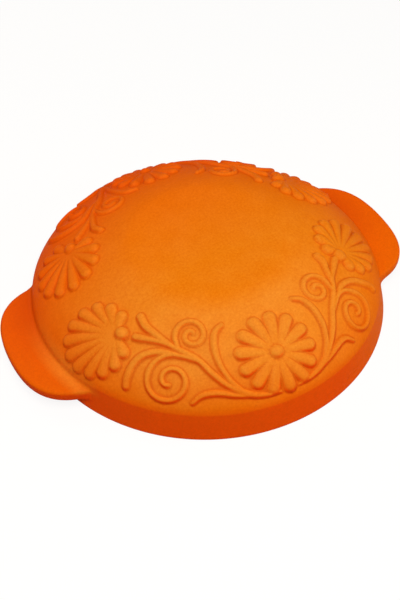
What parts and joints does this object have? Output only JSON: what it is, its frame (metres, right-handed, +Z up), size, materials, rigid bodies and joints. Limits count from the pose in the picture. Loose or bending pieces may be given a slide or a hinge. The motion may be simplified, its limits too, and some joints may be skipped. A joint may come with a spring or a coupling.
{
  "type": "clay roaster lid",
  "caption": "Round domed cover of a clay roaster with two lug handles, a flat plain crown and a raised pattern of flowers and scrolls on its slope.",
  "frame": {"origin": "middle of the rim's plane, on which the cover stands", "axes": "+X through the middle of one handle, +Z up through the crown, +Y across the handles"},
  "size_m": [0.374, 0.3192, 0.075],
  "materials": {
    "clay": "unglazed matte fired clay, orange terracotta"
  },
  "bodies": {
    "root": {"roaster_cover": "clay"}
  },
  "joints": []
}
